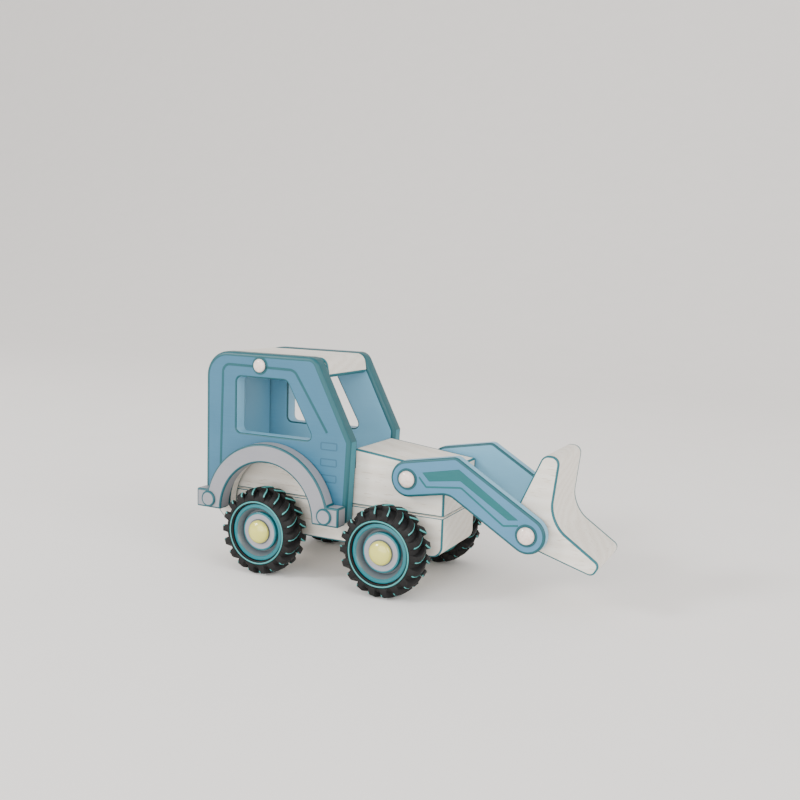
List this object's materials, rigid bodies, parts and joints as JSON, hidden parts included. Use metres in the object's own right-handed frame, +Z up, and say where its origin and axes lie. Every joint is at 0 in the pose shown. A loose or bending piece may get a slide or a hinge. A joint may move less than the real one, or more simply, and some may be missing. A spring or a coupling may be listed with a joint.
{
  "type": "toy digger truck",
  "caption": "Push-along wooden toy digger truck with a framed cab, arched mudguards, lugged rubber tyres, and lift arms that raise a tipping bucket.",
  "frame": {"origin": "middle of the truck's footprint, on the floor that its tyres stand on", "axes": "+X forwards, towards the bucket; +Y to the truck's left; +Z up"},
  "size_m": [0.2188, 0.086, 0.1165],
  "materials": {
    "natural_beech": "bare sanded beech, lightly oiled",
    "blue_paint": "beech under satin water-based blue paint, with teal edges and printed lines",
    "grey_paint": "beech under satin water-based grey paint",
    "teal_paint": "turned beech under teal paint with a dark grey dish",
    "disc_grey_paint": "turned beech under light grey paint",
    "yellow_paint": "turned beech peg under glossy pale yellow paint",
    "lacquered_peg": "turned beech peg under clear gloss lacquer",
    "tyre_rubber": "moulded black rubber, matt"
  },
  "bodies": {
    "truck_body": {"chassis_block": "natural_beech", "body_block": "natural_beech", "locating_dowel_rear": "natural_beech", "locating_dowel_front": "natural_beech", "cab_side_left": "blue_paint", "cab_side_right": "blue_paint", "cab_roof": "natural_beech", "cab_rear_wall": "blue_paint", "roof_peg_left": "lacquered_peg", "roof_peg_right": "lacquered_peg", "mudguard_left": "grey_paint", "mudguard_right": "grey_paint", "mudguard_peg_rear_left": "grey_paint", "mudguard_peg_rear_right": "grey_paint", "mudguard_peg_front_left": "grey_paint", "mudguard_peg_front_right": "grey_paint", "spacer_washer_rear_left": "natural_beech", "axle_peg_rear_left": "yellow_paint", "spacer_washer_rear_right": "natural_beech", "axle_peg_rear_right": "yellow_paint", "spacer_washer_front_left": "natural_beech", "axle_peg_front_left": "yellow_paint", "spacer_washer_front_right": "natural_beech", "axle_peg_front_right": "yellow_paint", "arm_pivot_peg_left": "lacquered_peg", "arm_pivot_peg_right": "lacquered_peg"},
    "lift_arms": {"lift_arm_left": "blue_paint", "lift_arm_right": "blue_paint"},
    "bucket": {"bucket": "natural_beech", "bucket_peg_left": "lacquered_peg", "bucket_peg_right": "lacquered_peg"},
    "wheel_rear_left": {"tyre_rear_left": "tyre_rubber", "rim_rear_left": "teal_paint", "hub_disc_rear_left": "disc_grey_paint"},
    "wheel_rear_right": {"tyre_rear_right": "tyre_rubber", "rim_rear_right": "teal_paint", "hub_disc_rear_right": "disc_grey_paint"},
    "wheel_front_left": {"tyre_front_left": "tyre_rubber", "rim_front_left": "teal_paint", "hub_disc_front_left": "disc_grey_paint"},
    "wheel_front_right": {"tyre_front_right": "tyre_rubber", "rim_front_right": "teal_paint", "hub_disc_front_right": "disc_grey_paint"}
  },
  "joints": [
    {"name": "wheel_rear_left_spin", "type": "hinge", "parent": "truck_body", "child": "wheel_rear_left", "pos_m": [-0.06643, 0.0346, 0.02302], "axis": [0, 1, 0], "continuous": true},
    {"name": "wheel_rear_right_spin", "type": "hinge", "parent": "truck_body", "child": "wheel_rear_right", "pos_m": [-0.06643, -0.0346, 0.02302], "axis": [0, 1, 0], "continuous": true},
    {"name": "wheel_front_left_spin", "type": "hinge", "parent": "truck_body", "child": "wheel_front_left", "pos_m": [0.00597, 0.0346, 0.02302], "axis": [0, 1, 0], "continuous": true},
    {"name": "wheel_front_right_spin", "type": "hinge", "parent": "truck_body", "child": "wheel_front_right", "pos_m": [0.00597, -0.0346, 0.02302], "axis": [0, 1, 0], "continuous": true},
    {"name": "arms_lift", "type": "hinge", "parent": "truck_body", "child": "lift_arms", "pos_m": [0.01377, 0, 0.05922], "axis": [0, -1, 0], "range_deg": [-12, 70]},
    {"name": "bucket_tip", "type": "hinge", "parent": "lift_arms", "child": "bucket", "pos_m": [0.07657, 0, 0.03972], "axis": [0, 1, 0], "range_deg": [-45, 60]}
  ]
}
